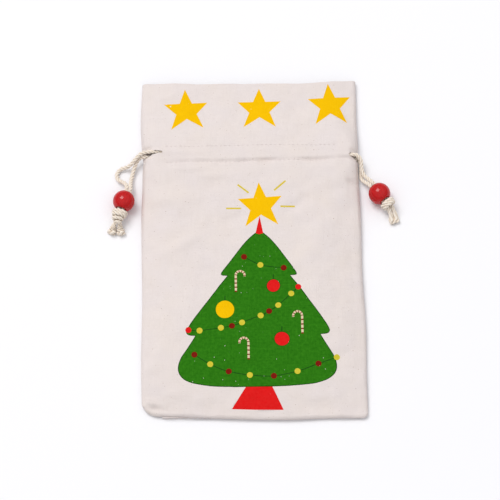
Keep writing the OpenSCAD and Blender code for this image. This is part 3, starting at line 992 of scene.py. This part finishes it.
# Each cane: its foot, its height, and which way its hook turns
CANES = [((-11.2, -34.5), 12.0, 1), ((33.0, -64.6), 12.6, -1), ((-3.3, -82.4), 12.0, -1)]
# Each star: its middle and its turn; the last is the one on the tree
STARS = [(-44.2, 104.3, 3.0), (6.8, 105.0, 0.0), (56.0, 107.6, 3.0), (6.2, 30.0, 3.0)]
RAYS = [((-9.1, 44.2), (-1.6, 38.1)), ((15.9, 39.5), (23.9, 46.4)), ((-17.1, 26.4), (-6.9, 26.6)),
        ((20.0, 27.5), (29.9, 27.8))]
CANE_W = 1.5
CANE_HOOK_R = 3.0


def cane_path(foot, height, way):
    x, y = foot
    stem = [(x, y + t) for t in np.linspace(0, height, 9)]
    turn = np.linspace(0, math.pi * 1.08, 12)[1:]
    hook = [(x + way * CANE_HOOK_R * (1 - math.cos(a)), y + height + CANE_HOOK_R * math.sin(a)) for a in turn]
    return np.array(stem + hook)


def print_shapes():
    """The printed shapes as (outline, ink), the lowest first."""
    shapes = [(star(*s), "gold") for s in STARS[:3]]
    shapes += [(band(ray, RAY_W), "ray") for ray in RAYS]
    shapes += [(np.array(TREE_FOOT), "red"), (tree_outline(), "dark_green"),
               (tree_outline(GREEN_RIM), "green"), (star(*STARS[3]), "gold"), (np.array(TREE_TIP), "red")]
    for garland in GARLANDS:
        path = curve_through([(x, y, 0) for x, y, _ in garland], 3.0)[:, :2]
        shapes.append((band(path, STRING_W), "dark_green"))
    for garland in GARLANDS:
        for x, y, colour in garland:
            shapes.append((circle(x, y, GARLAND_BEAD_R, 14), colour))
    for x, y, r, colour in BALLS:
        shapes.append((band([(x, y + r), (x + 0.1, y + r + 3.4)], 0.6), "dark_green"))
        shapes.append((circle(x, y, r, 28), "dark_green" if colour == "red" else "gold"))
        shapes.append((circle(x, y, r - BALL_RIM, 28), colour))
    for foot, height, way in CANES:
        path = cane_path(foot, height, way)
        shapes.append((band(path, CANE_W), "cream"))
        for a, b in list(zip(path[:-1], path[1:]))[::2]:
            shapes.append((band([a, (a + b) / 2 + (b - a) * 0.1], CANE_W * 1.02), "dark_red"))
    return shapes


def inside(outline_points, x, y):
    """Whether each point lies inside a closed outline."""
    found = np.zeros(len(x), bool)
    for (ax, ay), (bx, by) in zip(outline_points, np.roll(outline_points, -1, axis=0)):
        crosses = (ay > y) != (by > y)
        if ay != by:
            found ^= crosses & (x < (bx - ax) * (y - ay) / (by - ay) + ax)
    return found


FRONT_PITCH, BACK_PITCH = 1.3, 2.4
# Points closer than this are joined, and triangles this small are left out
JOIN_WITHIN = 1e-4
SLIVER = 1e-7


def front_mesh():
    """Plan points, triangles and inks of the front, cut along every printed outline."""
    plan, _ = grid_plan(columns(FRONT_PITCH, SIDE_ROUND), rows(FRONT_PITCH, FOOT_ROUND))
    points = [Vector(p) for p in plan.tolist()]
    edges = []

    def add(loop, closed=True):
        first, count = len(points), len(loop)
        points.extend(Vector(p) for p in np.asarray(loop, float).tolist())
        edges.extend((first + i, first + (i + 1) % count) for i in range(count if closed else count - 1))

    shapes = print_shapes()
    for loop, _ in shapes:
        add(loop)
    for loop in SLOTS:
        add(loop)
    add([(0, -HALF_L), (0, HALF_L)], closed=False)
    add([(-HALF_W, -HALF_L), (HALF_W, -HALF_L), (HALF_W, HALF_L), (-HALF_W, HALF_L)])
    verts, _, faces, *_ = delaunay_2d_cdt(points, edges, [], 0, JOIN_WITHIN)
    plan = np.array([tuple(v) for v in verts])
    triangles = np.array([tuple(f) for f in faces])
    a, b, c = (plan[triangles[:, k]] for k in range(3))
    area = (b - a)[:, 0] * (c - a)[:, 1] - (b - a)[:, 1] * (c - a)[:, 0]
    triangles[area < 0] = triangles[area < 0][:, ::-1]
    middle = (a + b + c) / 3
    x, y = middle[:, 0], middle[:, 1]
    keep = (np.abs(area) > SLIVER) & (np.abs(x) < HALF_W) & (np.abs(y) < HALF_L)
    for loop in SLOTS:
        keep &= ~inside(loop, x, y)
    inks = np.zeros(len(triangles), np.int32)
    for loop, colour in shapes:
        near = np.where((x > loop[:, 0].min()) & (x < loop[:, 0].max())
                        & (y > loop[:, 1].min()) & (y < loop[:, 1].max()))[0]
        inks[near[inside(loop, x[near], y[near])]] = INK_INDEX[colour]
    return plan, triangles[keep], inks[keep]


plan, triangles, inks = front_mesh()
points = front_surface(plan)
front_cloth = halves("front_cloth", "front_panel", plan, points, triangles, inks)

plan, triangles = grid_plan(columns(BACK_PITCH, BACK_ROUND), rows(BACK_PITCH, BACK_ROUND))
back_cloth = halves("back_cloth", "back_panel", plan, back_surface(plan), triangles, flip=True)

facing_low, facing_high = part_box("front_casing_facing")
facing_half = facing_high.x / MM
facing_rows = np.concatenate([stations(facing_low.y / MM, HALF_L - FOLD_R, 0.9)[:-1], FOLD_ROWS])
plan, triangles = grid_plan(stations(-facing_half, facing_half, 2.0), facing_rows)
points = front_facing_surface(plan)
front_facing = halves("front_hem", "front_casing_facing", plan, points, triangles, flip=True)
back_facing = halves("back_hem", "back_casing_facing", plan, back_facing_surface(plan), triangles)

# ---- seam allowances

STRIP_PITCH = 2.0
STRIP_GAP = 0.1
SIDE_STRIP_X = 73.6
SIDE_STRIP_W = 10.4
SIDE_STRIP_SLOPE = 0.14
SIDE_STRIP_LIFT = 0.1
FOOT_STRIP_DY = 3.2
FOOT_STRIP_Z = 0.9
FOOT_STRIP_W = 8.8


def allowance_strip(name, node, path, out, width, slope, body):
    """Two layers of cloth joined at the sewn edge, which is the path; out points away from it."""
    t, gap = CLOTH_T, STRIP_GAP
    profile = [(0, 0), (width, 0), (width, t), (1.0, t), (1.0, t + gap), (width - 0.4, t + gap),
               (width - 0.4, 2 * t + gap), (0, 2 * t + gap)]
    points, places = [], []
    for i, at in enumerate(path):
        lean = slope + 0.02 * math.sin(i * 0.45)
        for a, h in profile:
            points.append(np.array(at) + np.array(out) * a + np.array([0, 0, h + a * lean]))
            places.append((a + h, i * STRIP_PITCH, 0))
    piece = new_piece(name, points, tube_faces(len(path), len(profile)), [COTTON], smooth=False)
    store(piece, "flat_at", places)
    declare(piece, node, body)


def side_strips(side, way):
    """A side's two strips, under and over the tunnel."""
    node = side + "_seam_allowance"
    low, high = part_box(node)
    x = way * SIDE_STRIP_X
    for part, start, finish in (("lower", low.y / MM, TUNNEL_LOW - 0.5),
                                ("upper", TUNNEL_HIGH + 0.5, high.y / MM)):
        ys = stations(start, finish, STRIP_PITCH)
        zs = seam_z(np.full_like(ys, x), ys) + SIDE_STRIP_LIFT
        allowance_strip(f"{side}_seam_{part}", node, [(x, y, z) for y, z in zip(ys, zs)], (-way, 0, 0),
                        SIDE_STRIP_W, SIDE_STRIP_SLOPE, side + "_side")


for side, way in SIDES:
    side_strips(side, way)
low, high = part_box("bottom_seam_allowance")
foot_path = [(x, low.y / MM + FOOT_STRIP_DY, FOOT_STRIP_Z)
             for x in stations(low.x / MM, high.x / MM, STRIP_PITCH)]
allowance_strip("bottom_seam", "bottom_seam_allowance", foot_path, (0, 1, 0), FOOT_STRIP_W, 0.0, "pouch")

# ---- stitches

STITCH_L = 2.3
STITCH_PITCH = 3.1
STITCH_R = 0.16
STITCH_SIDES = 6
STITCH_RINGS = 7
# How high a stitch's middle rises, how far its ends dip below that, and how much thinner they are
STITCH_RISE = 0.10
STITCH_DIP = 0.34
STITCH_THINS = 0.35
# How far the back rows lie outside the tunnel, and the side rows from the edge and over their strip
BACK_ROW_OUT = 2.4
SIDE_ROW_IN = 3.4
SIDE_ROW_OVER = 0.28


def stitch(at, along, up):
    """A short length of thread that dips into the cloth at both ends."""
    aside = np.cross(up, along)
    points, fibres = [], []
    for t in np.linspace(-1, 1, STITCH_RINGS):
        centre = at + along * t * STITCH_L / 2 + up * (STITCH_RISE - STITCH_DIP * t * t)
        r = STITCH_R * (1 - STITCH_THINS * t**4)
        for a in np.arange(STITCH_SIDES) * 2 * math.pi / STITCH_SIDES:
            points.append(centre + (aside * math.cos(a) + up * math.sin(a)) * r)
            fibres.append((math.cos(a + t * 2), math.sin(a + t * 2), at[0] + t))
    faces = tube_faces(STITCH_RINGS, STITCH_SIDES)
    return np.array(points), faces, np.array(fibres), np.ones((len(points), 3))


def stitch_piece(name, node, places):
    """A row of stitches, one at each of these points in space."""
    along = unit(np.gradient(places, axis=0))
    up = np.array(UP)
    stitches = [stitch(at, way, unit(up - way * (up @ way))) for at, way in zip(places, along)]
    piece = rope_piece(name, stitches, SEWING_THREAD)
    declare(piece, node)
    return piece


def casing_stitches(name, node, surface, lines):
    """Rows of stitches on a surface, in two halves that follow the cloth."""
    for side, way in SIDES:
        xs = way * np.arange(STITCH_PITCH * 0.6, 60, STITCH_PITCH)
        for i, line in enumerate(lines):
            piece = stitch_piece(f"{name}_{side}_{i}", node, surface(np.column_stack([xs, line(xs)])))
            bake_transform(piece)


casing_stitches("front_casing_stitches", "front_casing_stitching", front_surface, (crease_y, upper_y))
casing_stitches("back_casing_stitches", "back_casing_stitching", back_facing_surface,
                (lambda x: 0 * x + TUNNEL_LOW - BACK_ROW_OUT, lambda x: 0 * x + TUNNEL_HIGH + BACK_ROW_OUT))
xs = stations(-58, 58, STITCH_PITCH)
foot_z = FOOT_STRIP_Z + 2 * CLOTH_T + STRIP_GAP
piece = stitch_piece("bottom_seam_stitches", "bottom_seam_stitching",
                     np.column_stack([xs, np.full_like(xs, -HALF_L + 4), np.full_like(xs, foot_z)]))
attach(piece, "pouch")
for side, way in SIDES:
    x = way * (HALF_W - SIDE_ROW_IN)
    for part, start, finish in (("lower", -HALF_L + 14, TUNNEL_LOW - 3),
                                ("upper", TUNNEL_HIGH + 3, HALF_L - 4)):
        ys = stations(start, finish, STITCH_PITCH)
        zs = seam_z(np.full_like(ys, x), ys) + SIDE_STRIP_LIFT + 2 * CLOTH_T + STRIP_GAP + SIDE_ROW_OVER
        piece = stitch_piece(f"{side}_seam_stitches_{part}", side + "_seam_stitching",
                             np.column_stack([np.full_like(ys, x), ys, zs]))
        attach(piece, side + "_side")

# ---- floor, light and view

FLOOR_SIZE = 3000
FLOOR_DROP = 0.0002
FLOOR_TONES = ((0.885, 0.88, 0.91), (0.895, 0.892, 0.915))
# The sky's strength low down and high up, and the heights between which it rises
SKY_LOW, SKY_HIGH = 0.32, 0.80
SKY_FROM, SKY_TO = 0.1, 0.75
KEY_AT = Vector((-1.7, 1.5, 5.0))
KEY_SIZE = 2.8
KEY_POWER = 150.0


def make_floor():
    n = Material("floor", roughness=0.9, specular=0.1)
    tone = n.noise(n.add("ShaderNodeTexCoord").outputs["Object"], 3.0, 2)
    material = n.finish(n.mix(tone, *FLOOR_TONES), tone, 0.0001)
    corners = [(x * FLOOR_SIZE, y * FLOOR_SIZE, 0) for x, y in ((-1, -1), (1, -1), (1, 1), (-1, 1))]
    floor = new_piece("floor", corners, [(0, 1, 2, 3)], [material], smooth=False)
    floor.location.z = -FLOOR_DROP


def make_sky():
    world = bpy.data.worlds.new("studio")
    world.use_nodes = True
    n = Nodes(world.node_tree)
    split = n.add("ShaderNodeSeparateXYZ", Vector=n.add("ShaderNodeTexCoord").outputs["Generated"])
    strength = n.ramp(split.outputs["Z"], SKY_FROM, SKY_TO, SKY_LOW, SKY_HIGH)
    background = n.tree.nodes["Background"].inputs
    n.feed(background["Color"], (1.0, 1.0, 1.0, 1.0))
    n.feed(background["Strength"], strength)
    bpy.context.scene.world = world


def make_key():
    """One large soft light from above, towards the mouth and the left."""
    data = bpy.data.lights.new("key", "AREA")
    data.shape = "SQUARE"
    data.size = KEY_SIZE
    data.energy = KEY_POWER
    aimed("key", data, KEY_AT, -KEY_AT)


make_floor()
make_sky()
make_key()
bpy.context.scene.view_settings.view_transform = "Standard"
